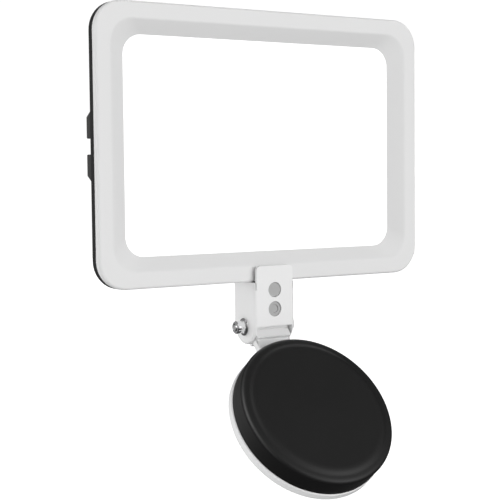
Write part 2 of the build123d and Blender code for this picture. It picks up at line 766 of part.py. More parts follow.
socket_bottom = panel_bottom + socket_inset
with BuildPart() as charging_socket:
    with BuildSketch(Plane.XY.offset(socket_bottom)):
        with Locations((board_x, inlet_y)):
            RectangleRounded(socket_width, socket_height, socket_height / 2 - 0.01)
    extrude(amount=socket_length)
    with BuildSketch(Plane.XY.offset(socket_bottom)):
        with Locations((board_x, inlet_y)):
            RectangleRounded(socket_width - 2 * socket_wall, socket_height - 2 * socket_wall,
                             socket_height / 2 - socket_wall - 0.01)
            Rectangle(socket_width - 2, socket_wall * 2, mode=Mode.SUBTRACT)
    extrude(amount=socket_length - 1, mode=Mode.SUBTRACT)
finish(charging_socket.part, "charging_socket")

with BuildPart() as battery_pack:
    with BuildSketch(panel_level(heat_back - layer_gap)):
        with Locations((battery_x, 0)):
            RectangleRounded(battery_width, battery_height, stack_corner)
    extrude(amount=-battery_thickness)
    fillet(battery_pack.faces().sort_by(Axis.Y)[-1].edges(), 1)
finish(battery_pack.part, "battery_pack")

# wires lie on the heat plate: battery to board, and board to the two LED strips
wire_level = heat_back - layer_gap - wire_radius
board_left = board_x - board_width / 2
battery_right = battery_x + battery_width / 2
strip_end = stack_width / 2 - 3
strip_middle = edge_of_guide + led_depth + strip_thickness + wire_radius
with BuildPart() as wires:
    for lift in (0, 2.5):
        with BuildLine(panel_level(wire_level)) as lead:
            FilletPolyline(
                (battery_right, -12 + lift), (battery_right + 30 + lift, -12 + lift),
                (battery_right + 30 + lift, board_bottom + 30 + lift), (board_left, board_bottom + 30 + lift),
                radius=5,
            )
        with BuildSketch(Plane(origin=lead.line @ 0, z_dir=lead.line % 0)):
            Circle(wire_radius)
        sweep(path=lead.line)
finish(wires.part, "wires")

# ================= buttons =================
for name, place in zip(("dimmer_button", "power_button", "brighter_button"), button_places):
    with BuildPart() as button:
        with Locations(panel_level(-shell_depth - button_proud)):
            with Locations(place):
                Cylinder(button_radius, button_proud + shell_wall + layer_gap / 2, align=bottom_up)
        fillet(button.edges().sort_by(Axis.Y)[-1], 0.5)
        with Locations(panel_level(shell_inside + layer_gap / 2)):
            with Locations(place):
                Cylinder(button_radius + button_flange, button_flange_thickness, align=bottom_up)
    finish(button.part, name)
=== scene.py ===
import json
import math

import bpy
from mathutils import Matrix, Vector


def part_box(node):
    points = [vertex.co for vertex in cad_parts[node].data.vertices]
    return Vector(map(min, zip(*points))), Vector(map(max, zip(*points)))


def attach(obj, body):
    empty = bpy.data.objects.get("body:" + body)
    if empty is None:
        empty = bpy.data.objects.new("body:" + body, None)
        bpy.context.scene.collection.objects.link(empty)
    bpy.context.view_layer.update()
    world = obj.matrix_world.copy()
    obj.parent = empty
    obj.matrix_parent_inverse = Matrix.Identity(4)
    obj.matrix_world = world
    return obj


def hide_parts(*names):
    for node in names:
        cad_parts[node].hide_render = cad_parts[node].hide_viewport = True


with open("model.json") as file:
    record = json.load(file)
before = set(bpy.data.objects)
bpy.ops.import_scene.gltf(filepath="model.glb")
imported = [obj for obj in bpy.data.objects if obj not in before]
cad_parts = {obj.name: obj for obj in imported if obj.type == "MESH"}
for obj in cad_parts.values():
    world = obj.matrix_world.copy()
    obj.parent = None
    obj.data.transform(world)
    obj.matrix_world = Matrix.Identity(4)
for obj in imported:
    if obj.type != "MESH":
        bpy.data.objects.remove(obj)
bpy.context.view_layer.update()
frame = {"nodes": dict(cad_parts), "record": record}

bl_info = {
    "name": "Tilting light table",
    "version": (1, 0, 0),
    "blender": (4, 5, 0),
    "location": "View3D > Sidebar > Light table",
    "description": "Builds the visible pieces of a small tilting light table around its fixed frame",
    "category": "Add Mesh",
}

MM = 0.001

# ---- places taken from the frame ----
FRAME_LOW, FRAME_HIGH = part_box("front_frame")
BOLT_LOW, BOLT_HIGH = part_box("hinge_bolt")
NUT_LOW, NUT_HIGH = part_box("flange_nut")
PANEL_CENTRE_Z = (FRAME_LOW.z + FRAME_HIGH.z) / 2
PARTING_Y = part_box("back_shell")[0].y      # where the frame meets the rear shell
HINGE = Vector((0, (BOLT_LOW.y + BOLT_HIGH.y) / 2, (BOLT_LOW.z + BOLT_HIGH.z) / 2))
PAD_NORMAL = next(Vector(m["axis"]) for m in frame["record"]["mounts"] if m["name"] == "pad_face")
PAD_TURN = math.atan2(-PAD_NORMAL.y, PAD_NORMAL.z)
PAD_PLACE = Matrix.Rotation(PAD_TURN, 4, "X")
PANEL_PLACE = Matrix.Translation((0, PARTING_Y, PANEL_CENTRE_Z)) @ Matrix.Rotation(math.pi / 2, 4, "X")
TO_FRONT = Matrix.Rotation(math.pi / 2, 4, "X")
TO_BACK = Matrix.Rotation(-math.pi / 2, 4, "X")
TO_LEFT = Matrix.Rotation(-math.pi / 2, 4, "Y")
TO_RIGHT = Matrix.Rotation(math.pi / 2, 4, "Y")


# ================= sizes and colours that a user may change =================
def length(name, description, default):
    return bpy.props.FloatProperty(
        name=name, description=description, default=default, min=0, unit="LENGTH", subtype="DISTANCE"
    )


def colour(name, description, default):
    return bpy.props.FloatVectorProperty(
        name=name, description=description, default=default, size=3, min=0, max=1, subtype="COLOR"
    )


class LightTableSizes(bpy.types.PropertyGroup):
    """Sizes of the pieces that are modelled here"""

    frame_corner: length("Frame corner", "Radius of the frame's outer corners", 18.6 * MM)
    frame_round: length("Frame edge", "Rounding of the frame's front edge", 1.8 * MM)
    window_width: length("Window width", "Width of the lit window", 208.4 * MM)
    window_height: length("Window height", "Height of the lit window", 139.1 * MM)
    window_corner: length("Window corner", "Radius of the window's corners", 12.9 * MM)
    bevel_side: length("Side bevel", "Width of the bevel left and right of the window", 11.0 * MM)
    bevel_top: length("Top bevel", "Width of the bevel above and below the window", 9.1 * MM)
    bevel_corner: length("Bevel corner", "Radius of the corners where the bevel begins", 16 * MM)
    bevel_depth: length("Bevel depth", "How far the window lies behind the frame's face", 6.3 * MM)
    pad_thickness: length("Pad thickness", "Depth of the rubber pad's cover", 16 * MM)
    nut_hexagon: length("Nut hexagon", "How far the nut's hexagon reaches from its flange", 3.3 * MM)
    nut_collar: length("Nut collar", "Radius of the round collar on the nut", 4.2 * MM)
    nut_flats: length("Nut flats", "Distance across the nut's flats", 8.0 * MM)
    bolt_radius: length("Bolt radius", "Radius of the hinge bolt", 2.5 * MM)
    head_height: length("Bolt head height", "Height of the hinge bolt's round head", 5.0 * MM)
    edge_break: length("Edge break", "Rounding of the metal pieces' edges", 0.35 * MM)
    thread_pitch: length("Thread pitch", "Pitch of the hinge bolt's thread", 0.8 * MM)


class LightTableColours(bpy.types.PropertyGroup):
    """Colours of the finishes"""

    white_plastic: colour("White plastic", "The moulded frame", (0.79, 0.79, 0.79))
    white_paint: colour("White paint", "Bracket, arm and base plate", (0.85, 0.85, 0.85))
    black_plastic: colour("Black plastic", "The rear shell", (0.012, 0.012, 0.012))
    rubber: colour("Rubber", "The magnetic pad's cover", (0.0095, 0.0095, 0.0095))
    feet: colour("Feet", "The lugs the panel can lie on", (0.05, 0.05, 0.05))
    plugs: colour("Plugs", "The two plugs over the bracket's screws", (0.43, 0.43, 0.43))
    light: colour("Light", "The lit window", (1.0, 1.0, 1.0))


def sizes():
    return bpy.context.scene.light_table_sizes


def colours():
    return bpy.context.scene.light_table_colours


# ================= modelling helpers =================
def deselect():
    if bpy.context.object and bpy.context.object.mode != "OBJECT":
        bpy.ops.object.mode_set(mode="OBJECT")
    bpy.ops.object.select_all(action="DESELECT")


def edit_selected(piece, wanted):
    """Enter edit mode with just the vertices selected whose place passes the test."""
    bpy.ops.object.mode_set(mode="EDIT")
    bpy.ops.mesh.select_mode(type="VERT")
    bpy.ops.mesh.select_all(action="DESELECT")
    bpy.ops.object.mode_set(mode="OBJECT")
    for vertex in piece.data.vertices:
        vertex.select = wanted(vertex.co)
    bpy.ops.object.mode_set(mode="EDIT")


def place_key(place):
    return tuple(round(value * 1e6) for value in place)


def add_ring(ring):
    """One closed edge loop on the XY plane of the piece: a circle or a rounded rectangle."""
    deselect()
    kind, *measures, level = ring
    if kind == "circle":
        radius, steps = measures
        bpy.ops.mesh.primitive_circle_add(vertices=steps, radius=radius, location=(0, 0, level))
        bpy.ops.object.transform_apply(location=True)
        return bpy.context.object
    width, height, corner, steps = measures
    bpy.ops.mesh.primitive_plane_add(size=1, location=(0, 0, level))
    loop = bpy.context.object
    loop.scale = (width, height, 1)
    bpy.ops.object.transform_apply(location=True, scale=True)
    bpy.ops.object.mode_set(mode="EDIT")
    bpy.ops.mesh.select_all(action="SELECT")
    bpy.ops.mesh.bevel(offset=corner, segments=steps, profile=0.5, affect="VERTICES")
    bpy.ops.mesh.delete(type="ONLY_FACE")
    bpy.ops.object.mode_set(mode="OBJECT")
    return loop


def skin(rings, closed=False):
    """Bridge a stack of edge loops into one surface, and cap its ends or join them."""
    loops = [add_ring(ring) for ring in rings]
    places = [{place_key(vertex.co) for vertex in loop.data.vertices} for loop in loops]
    deselect()
    for loop in loops:
        loop.select_set(True)
    bpy.context.view_layer.objects.active = loops[0]
    bpy.ops.object.join()
    piece = loops[0]
    pairs = list(zip(places, places[1:]))
    if closed:
        pairs.append((places[-1], places[0]))
    for first, second in pairs:
        both = first | second
        edit_selected(piece, lambda place, both=both: place_key(place) in both)
        if len({key[2] for key in both}) == 1:
            bpy.ops.mesh.fill(use_beauty=True)
        else:
            bpy.ops.mesh.bridge_edge_loops()
        bpy.ops.object.mode_set(mode="OBJECT")
    if not closed:
        for end in (places[0], places[-1]):
            edit_selected(piece, lambda place, end=end: place_key(place) in end)
            bpy.ops.mesh.edge_face_add()
            bpy.ops.object.mode_set(mode="OBJECT")
    tidy_normals(piece)
    return piece


def tidy_normals(piece):
    bpy.ops.object.mode_set(mode="EDIT")
    bpy.ops.mesh.select_all(action="SELECT")
    bpy.ops.mesh.remove_doubles(threshold=0.000001)
    bpy.ops.mesh.normals_make_consistent(inside=False)
    bpy.ops.object.mode_set(mode="OBJECT")


def circles(steps, *places):
    """Round loops for skin(): each place is a radius and a level."""
    return [("circle", radius, steps, level) for radius, level in places]


def arc(radius, steps):
    """Points of a quarter round: how far in, and how far below the top."""
    angles = [step / steps * math.pi / 2 for step in range(steps + 1)]
    return [(radius * (1 - math.cos(angle)), radius * (1 - math.sin(angle))) for angle in angles]


def move_to(piece, matrix):
    """Put a finished mesh in its place and leave its object at the origin."""
    deselect()
    piece.select_set(True)
    bpy.context.view_layer.objects.active = piece
    piece.matrix_world = matrix @ piece.matrix_world
    bpy.ops.object.transform_apply(location=True, rotation=True, scale=True)


def apply_modifier(piece, kind, **values):
    deselect()
    piece.select_set(True)
    bpy.context.view_layer.objects.active = piece
    modifier = piece.modifiers.new(kind.title(), kind)
    for name, value in values.items():
        setattr(modifier, name, value)
    bpy.ops.object.modifier_apply(modifier=modifier.name)


def soften(piece, width, segments=3, angle=30):
    """Round the piece's sharp edges a little."""
    apply_modifier(
        piece, "BEVEL", width=width, segments=segments, limit_method="ANGLE",
        angle_limit=math.radians(angle), harden_normals=False, use_clamp_overlap=True,
    )


def smooth(piece, angle=32):
    deselect()
    piece.select_set(True)
    bpy.context.view_layer.objects.active = piece
    bpy.ops.object.shade_smooth_by_angle(angle=math.radians(angle))
    apply_modifier(piece, "WEIGHTED_NORMAL", keep_sharp=True, weight=90)


def finish_piece(piece, name, body, slot, material, *nodes):
    """Name a piece, give it its finish, and let it ride on its body in place of its CAD nodes."""
    piece.name = name
    piece.data.name = name
    piece.data.materials.clear()
    piece.data.materials.append(material)
    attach(piece, body)
    if nodes:
        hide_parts(*nodes)
    return piece


def merged_copy(node):
    """A copy of a CAD node's mesh with its loose triangles joined into whole faces."""
    deselect()
    source = frame["nodes"][node]
    piece = bpy.data.objects.new(node + "_copy", source.data.copy())
    bpy.context.scene.collection.objects.link(piece)
    piece.select_set(True)
    bpy.context.view_layer.objects.active = piece
    bpy.ops.object.mode_set(mode="EDIT")
    bpy.ops.mesh.select_all(action="SELECT")
    bpy.ops.mesh.remove_doubles(threshold=0.000002)
    bpy.ops.mesh.customdata_custom_splitnormals_clear()
    bpy.ops.mesh.dissolve_limited(angle_limit=math.radians(0.5))
    bpy.ops.object.mode_set(mode="OBJECT")
    return piece


def refined(node, name, body, slot, material, edge, segments=2):
    """A CAD node's shape with its edges broken and its curves shaded smooth."""
    piece = merged_copy(node)
    if edge:
        soften(piece, edge, segments)
    smooth(piece)
    return finish_piece(piece, name, body, slot, material, node)


# ================= shader node groups =================
def new_group(name, inputs, outputs):
    """An empty shader group with named sockets, and its two end nodes."""
    group = bpy.data.node_groups.new(name, "ShaderNodeTree")
    for label, kind, value in inputs:
        socket = group.interface.new_socket(name=label, in_out="INPUT", socket_type=kind)
        socket.default_value = value
    for label, kind in outputs:
        group.interface.new_socket(name=label, in_out="OUTPUT", socket_type=kind)
    return group, group.nodes.new("NodeGroupInput"), group.nodes.new("NodeGroupOutput")


def math_node(tree, operation, first, second):
    node = tree.nodes.new("ShaderNodeMath")
    node.operation = operation
    for socket, value in zip(node.inputs, (first, second)):
        if isinstance(value, (int, float)):
            socket.default_value = value
        else:
            tree.links.new(value, socket)
    return node.outputs[0]


def noise_node(tree, scale, detail=3.0, roughness=0.5, vector=None):
    node = tree.nodes.new("ShaderNodeTexNoise")
    node.inputs["Detail"].default_value = detail
    node.inputs["Roughness"].default_value = roughness
    if isinstance(scale, (int, float)):
        node.inputs["Scale"].default_value = scale
    else:
        tree.links.new(scale, node.inputs["Scale"])
    if vector is not None:
        tree.links.new(vector, node.inputs["Vector"])
    return node.outputs["Fac"]


def make_surface_group():
    """Moulded, painted or sprayed surface: grain height, tone and roughness that drift a little."""
    group, start, end = new_group(
        "Surface grain",
        [
            ("Vector", "NodeSocketVector", (0, 0, 0)),
            ("Colour", "NodeSocketColor", (0.8, 0.8, 0.8, 1)),
            ("Grain scale", "NodeSocketFloat", 2500),
            ("Drift scale", "NodeSocketFloat", 30),
            ("Tone spread", "NodeSocketFloat", 0.03),
            ("Roughness", "NodeSocketFloat", 0.5),
            ("Roughness spread", "NodeSocketFloat", 0.1),
        ],
        [("Colour", "NodeSocketColor"), ("Roughness", "NodeSocketFloat"), ("Height", "NodeSocketFloat")],
    )
    grain = noise_node(group, start.outputs["Grain scale"], 2, 0.6, start.outputs["Vector"])
    drift = noise_node(group, start.outputs["Drift scale"], 4, 0.55, start.outputs["Vector"])
    centred = math_node(group, "SUBTRACT", drift, 0.5)
    tone = math_node(group, "MULTIPLY", centred, start.outputs["Tone spread"])
    grain_tone = math_node(group, "MULTIPLY", math_node(group, "SUBTRACT", grain, 0.5), 0.02)
    shift = math_node(group, "ADD", math_node(group, "ADD", tone, grain_tone), 1.0)
    scale = group.nodes.new("ShaderNodeVectorMath")
    scale.operation = "SCALE"
    group.links.new(start.outputs["Colour"], scale.inputs[0])
    group.links.new(shift, scale.inputs["Scale"])
    spread = math_node(group, "MULTIPLY", centred, start.outputs["Roughness spread"])
    rough = math_node(group, "ADD", spread, start.outputs["Roughness"])
    group.links.new(scale.outputs[0], end.inputs["Colour"])
    group.links.new(rough, end.inputs["Roughness"])
    group.links.new(grain, end.inputs["Height"])
    return group


def make_scratch_group():
    """Fine turning marks and hairlines for plated and machined metal."""
    group, start, end = new_group(
        "Metal marks",
        [
            ("Vector", "NodeSocketVector", (0, 0, 0)),
            ("Colour", "NodeSocketColor", (0.8, 0.8, 0.8, 1)),
            ("Roughness", "NodeSocketFloat", 0.15),
            ("Mark scale", "NodeSocketFloat", 900),
        ],
        [("Colour", "NodeSocketColor"), ("Roughness", "NodeSocketFloat"), ("Height", "NodeSocketFloat")],
    )
    stretch = group.nodes.new("ShaderNodeVectorMath")
    stretch.operation = "MULTIPLY"
    stretch.inputs[1].default_value = (6.0, 1.0, 1.0)
    group.links.new(start.outputs["Vector"], stretch.inputs[0])
    marks = noise_node(group, start.outputs["Mark scale"], 4, 0.7, stretch.outputs[0])
    haze = noise_node(group, 120.0, 3, 0.5, start.outputs["Vector"])
    rough = math_node(
        group, "ADD", math_node(group, "MULTIPLY", math_node(group, "ADD", marks, haze), 0.08),
        start.outputs["Roughness"],
    )
    darken = math_node(group, "SUBTRACT", 1.03, math_node(group, "MULTIPLY", haze, 0.12))
    scale = group.nodes.new("ShaderNodeVectorMath")
    scale.operation = "SCALE"
    group.links.new(start.outputs["Colour"], scale.inputs[0])
    group.links.new(darken, scale.inputs["Scale"])
    group.links.new(scale.outputs[0], end.inputs["Colour"])
    group.links.new(rough, end.inputs["Roughness"])
    group.links.new(marks, end.inputs["Height"])
    return group


GROUPS = {}


def group_named(name, maker):
    if name not in GROUPS:
        GROUPS[name] = maker()
    return GROUPS[name]


def new_material(name):
    material = bpy.data.materials.new(name)
    material.use_nodes = True
    tree = material.node_tree
    shader = tree.nodes["Principled BSDF"]
    places = tree.nodes.new("ShaderNodeTexCoord").outputs["Object"]
    return material, tree, shader, places


def add_bump(tree, shader, height, distance, strength):
    bump = tree.nodes.new("ShaderNodeBump")
    bump.inputs["Distance"].default_value = distance
    bump.inputs["Strength"].default_value = strength
    tree.links.new(height, bump.inputs["Height"])
    tree.links.new(bump.outputs["Normal"], shader.inputs["Normal"])


def surface(name, tint, roughness, grain=2500, depth=0.00001, strength=0.3, tone=0.03, rough_spread=0.1,
            drift=30, specular=0.5, coat=0.0, coat_roughness=0.2, sheen=0.0):
    """A moulded plastic, rubber or paint finish."""
    material, tree, shader, places = new_material(name)
    node = tree.nodes.new("ShaderNodeGroup")
    node.node_tree = group_named("surface", make_surface_group)
    tree.links.new(places, node.inputs["Vector"])
    node.inputs["Colour"].default_value = (*tint, 1)
    node.inputs["Grain scale"].default_value = grain
    node.inputs["Drift scale"].default_value = drift
    node.inputs["Tone spread"].default_value = tone
    node.inputs["Roughness"].default_value = roughness
    node.inputs["Roughness spread"].default_value = rough_spread
    tree.links.new(node.outputs["Colour"], shader.inputs["Base Color"])
    tree.links.new(node.outputs["Roughness"], shader.inputs["Roughness"])
    shader.inputs["Specular IOR Level"].default_value = specular
    shader.inputs["Coat Weight"].default_value = coat
    shader.inputs["Coat Roughness"].default_value = coat_roughness
    shader.inputs["Sheen Weight"].default_value = sheen
    add_bump(tree, shader, node.outputs["Height"], depth, strength)
    return material


def metal(name, tint, roughness, marks=900, depth=0.000004, strength=0.25):
    """A plated or machined metal finish."""
    material, tree, shader, places = new_material(name)
    node = tree.nodes.new("ShaderNodeGroup")
    node.node_tree = group_named("metal", make_scratch_group)
    tree.links.new(places, node.inputs["Vector"])
    node.inputs["Colour"].default_value = (*tint, 1)
    node.inputs["Roughness"].default_value = roughness
    node.inputs["Mark scale"].default_value = marks
    tree.links.new(node.outputs["Colour"], shader.inputs["Base Color"])
    tree.links.new(node.outputs["Roughness"], shader.inputs["Roughness"])
    shader.inputs["Metallic"].default_value = 1.0
    add_bump(tree, shader, node.outputs["Height"], depth, strength)
    return material


def lit_acrylic():
    """The opal sheet, lit from behind: its brightness drifts a little across the sheet, with the sheet's fine
    matt grain.
    """
    material, tree, shader, places = new_material("lit_opal_acrylic")
    drift = noise_node(tree, 12.0, 2, 0.5, places)
    level = math_node(tree, "ADD", math_node(tree, "MULTIPLY", drift, 0.04), 0.98)
    scale = tree.nodes.new("ShaderNodeVectorMath")
    scale.operation = "SCALE"
    scale.inputs[0].default_value = colours().light
    tree.links.new(level, scale.inputs["Scale"])
    tree.links.new(scale.outputs[0], shader.inputs["Emission Color"])
    seen = tree.nodes.new("ShaderNodeLightPath").outputs["Is Camera Ray"]
    strength = math_node(tree, "ADD", math_node(tree, "MULTIPLY", seen, LIT_STRENGTH - LIT_SPILL), LIT_SPILL)
    tree.links.new(strength, shader.inputs["Emission Strength"])
    shader.inputs["Base Color"].default_value = (0.30, 0.30, 0.30, 1)
    grain = noise_node(tree, 4000.0, 2, 0.5, places)
    rough = math_node(tree, "ADD", math_node(tree, "MULTIPLY", grain, 0.1), 0.45)
    tree.links.new(rough, shader.inputs["Roughness"])
    add_bump(tree, shader, grain, 0.000005, 0.2)
    return material


LIT_STRENGTH = 1.0
LIT_SPILL = 0.15
MATERIALS = {}


def material_named(name):
    """Each finish is built the first time a piece asks for it."""
    if name not in MATERIALS:
        MATERIALS[name] = FINISHES[name]()
    return MATERIALS[name]


FINISHES = {
    "white_plastic": lambda: surface(
        "moulded_white_plastic", colours().white_plastic, 0.46, grain=2600, depth=0.000012, strength=0.25,
        tone=0.012, rough_spread=0.12, drift=22),
    "white_paint": lambda: surface(
        "white_powder_coat", colours().white_paint, 0.40, grain=900, depth=0.000016, strength=0.22,
        tone=0.015, rough_spread=0.12, drift=60),
    "black_plastic": lambda: surface(
        "textured_black_plastic", colours().black_plastic, 0.55, grain=1800, depth=0.00004, strength=0.5,
        tone=0.25, rough_spread=0.15, drift=40),
    "black_rubber": lambda: surface(
        "moulded_black_rubber", colours().rubber, 0.30, grain=3200, depth=0.00001, strength=0.25,
        tone=0.2, rough_spread=0.10, drift=26, specular=0.5),
    "grey_rubber": lambda: surface(
        "grey_foot_rubber", colours().feet, 0.6, grain=2200, depth=0.00002, strength=0.4,
        tone=0.2, rough_spread=0.1, drift=60),
    "grey_plastic": lambda: surface(
        "grained_grey_plastic", colours().plugs, 0.5, grain=1500, depth=0.00005, strength=0.5,
        tone=0.10, rough_spread=0.15, drift=500),
    "white_head": lambda: surface(
        "white_bolt_head", (0.74, 0.74, 0.74), 0.3, grain=1500, depth=0.00001, strength=0.2, tone=0.03),
    "button_cap": lambda: surface(
        "button_cap", (0.03, 0.03, 0.03), 0.42, grain=2400, depth=0.000012, strength=0.3, tone=0.15),
    "nylon": lambda: surface("natural_nylon", (0.78, 0.77, 0.72), 0.4, grain=1200, tone=0.05),
    "chips": lambda: surface("moulded_black_parts", (0.02, 0.02, 0.02), 0.45, grain=1500, tone=0.2),
    "board": lambda: surface(
        "green_circuit_board", (0.02, 0.16, 0.07), 0.3, grain=600, depth=0.00003, tone=0.25, drift=400,
        coat=0.5),
    "led": lambda: surface("led_phosphor", (0.9, 0.8, 0.35), 0.4, grain=3000, tone=0.08, drift=900),
    "white_film": lambda: surface("white_reflector_film", (0.9, 0.9, 0.9), 0.6, grain=2000, tone=0.02),
    "wire_cover": lambda: surface("red_wire_cover", (0.4, 0.02, 0.02), 0.4, grain=1500, tone=0.1),
    "clear_acrylic": lambda: surface(
        "polished_acrylic", (0.82, 0.87, 0.88), 0.08, grain=800, depth=0.000002, tone=0.02, coat=0.6),
    "chrome": lambda: metal("bright_plating", (0.90, 0.90, 0.91), 0.10),
    "steel": lambda: metal("zinc_plated_steel", (0.58, 0.58, 0.60), 0.28, marks=600),
    "black_plate": lambda: metal("black_oxide_steel", (0.05, 0.05, 0.052), 0.32, marks=500),
    "aluminium": lambda: metal("rolled_aluminium", (0.72, 0.72, 0.73), 0.30, marks=400),
    "brass": lambda: metal("turned_brass", (0.72, 0.52, 0.22), 0.25, marks=700),
    "magnet": lambda: metal("nickel_plating", (0.66, 0.65, 0.62), 0.15),
    "foil": lambda: metal("pouch_foil", (0.60, 0.61, 0.63), 0.38, marks=200, depth=0.00003),
    "opal": lit_acrylic,
}


# ================= the object's pieces =================
class LIGHTTABLE_OT_front_frame(bpy.types.Operator):
    """Model the white bevelled frame round the lit window"""

    bl_idname = "light_table.front_frame"
    bl_label = "Front frame"

    def execute(self, context):
        s = sizes()
        width = FRAME_HIGH.x - FRAME_LOW.x
        height = FRAME_HIGH.z - FRAME_LOW.z
        front = PARTING_Y - FRAME_LOW.y
        wall = 2 * MM
        steps = 14

        def outer(inset, level):
            return ("outline", width - 2 * inset, height - 2 * inset, s.frame_corner - inset, steps, level)

        def window(grow_x, grow_z, corner, level):
            width = s.window_width + 2 * grow_x
            height = s.window_height + 2 * grow_z
            return ("outline", width, height, corner, steps, level)

        rings = [outer(0.15 * MM, 0), outer(0, 0.2 * MM)]
        rings += [outer(inset, front - drop) for inset, drop in arc(s.frame_round, 6)]
        crease = 0.9 * MM
        rings += [
            window(s.bevel_side + crease, s.bevel_top + crease, s.bevel_corner + crease, front),
            window(s.bevel_side + crease / 3, s.bevel_top + crease / 3, s.bevel_corner + crease / 3,
                   front - 0.08 * MM),
        ]
        low = front - s.bevel_depth
        share = crease / s.bevel_side
        rings.append(window(s.bevel_side * (1 - share), s.bevel_top * (1 - share), s.bevel_corner,
                            front - s.bevel_depth * share))
        lip = 0.45 * MM
        rings += [
            window(lip, lip, s.window_corner + lip, low + lip * 0.7),
            window(lip * 0.3, lip * 0.3, s.window_corner + lip * 0.3, low + lip * 0.25),
            window(0, 0, s.window_corner, low),
            window(wall, wall, s.window_corner + wall, low),
            window(s.bevel_side * 0.7 + wall, s.bevel_top * 0.7 + wall, s.bevel_corner + wall, front - wall),
            outer(wall, front - wall),
            outer(wall, 0),
        ]
        piece = skin(rings, closed=True)
        move_to(piece, PANEL_PLACE)
        smooth(piece, 24)
        finish_piece(piece, "white_front_frame", "panel", "white_plastic",
                     material_named("white_plastic"), "front_frame")
        return {"FINISHED"}


class LIGHTTABLE_OT_shell(bpy.types.Operator):
    """Finish the black rear shell and the lugs it can lie on"""

    bl_idname = "light_table.shell"
    bl_label = "Rear shell and feet"

    def execute(self, context):
        refined("back_shell", "black_rear_shell", "panel", "black_plastic",
                material_named("black_plastic"), 0.25 * MM)
        refined("rest_feet", "grey_rest_feet", "panel", "grey_rubber",
                material_named("grey_rubber"), 0.4 * MM)
        return {"FINISHED"}


class LIGHTTABLE_OT_bracket(bpy.types.Operator):
    """Finish the white channel bracket"""

    bl_idname = "light_table.bracket"
    bl_label = "Channel bracket"

    def execute(self, context):
        refined("bracket", "white_channel_bracket", "panel", "white_paint",
                material_named("white_paint"), sizes().edge_break, 3)
        return {"FINISHED"}


PLUG_STEPS = 64
SHALLOW_RIM = 0.88      # dish radius over plug radius, upper plug
DEEP_RIM = 0.6          # the same, lower plug


class LIGHTTABLE_OT_plugs(bpy.types.Operator):
    """Model the two round plugs over the bracket's screws"""

    bl_idname = "light_table.plugs"
    bl_label = "Bracket plugs"

    def execute(self, context):
        for node, recess in (("upper_plug", 0.15 * MM), ("lower_plug", 0.7 * MM)):
            low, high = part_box(node)
            radius = (high.x - low.x) / 2
            depth = high.y - low.y
            rim = radius * (DEEP_RIM if recess > 0.5 * MM else SHALLOW_RIM)
            rings = circles(PLUG_STEPS, (radius - 0.1 * MM, -depth), (radius, -depth + 0.1 * MM))
            rings += circles(PLUG_STEPS, *((radius - inset, -drop) for inset, drop in arc(0.3 * MM, 3)))
            rings += circles(PLUG_STEPS, (rim + 0.15 * MM, 0), (rim, -0.12 * MM), (rim - 0.05 * MM, -recess))
            piece = skin(rings)
            centre = (low + high) / 2
            move_to(piece, Matrix.Translation((centre.x, low.y, centre.z)) @ TO_FRONT)
            smooth(piece)
            finish_piece(piece, f"grey_{node}", "panel", "grey_plastic", material_named("grey_plastic"), node)
        return {"FINISHED"}


BOLT_STEPS = 40
NUT_STEPS = 72


def thread_rings(core, crest, start, end, pitch):
    """Loops of a fine V thread from start to end along the bolt."""
    rings = []
    level = start
    while level + pitch <= end:
        rings += circles(BOLT_STEPS, (crest, level + pitch * 0.25), (core, level + pitch * 0.75))
        level += pitch
    return rings


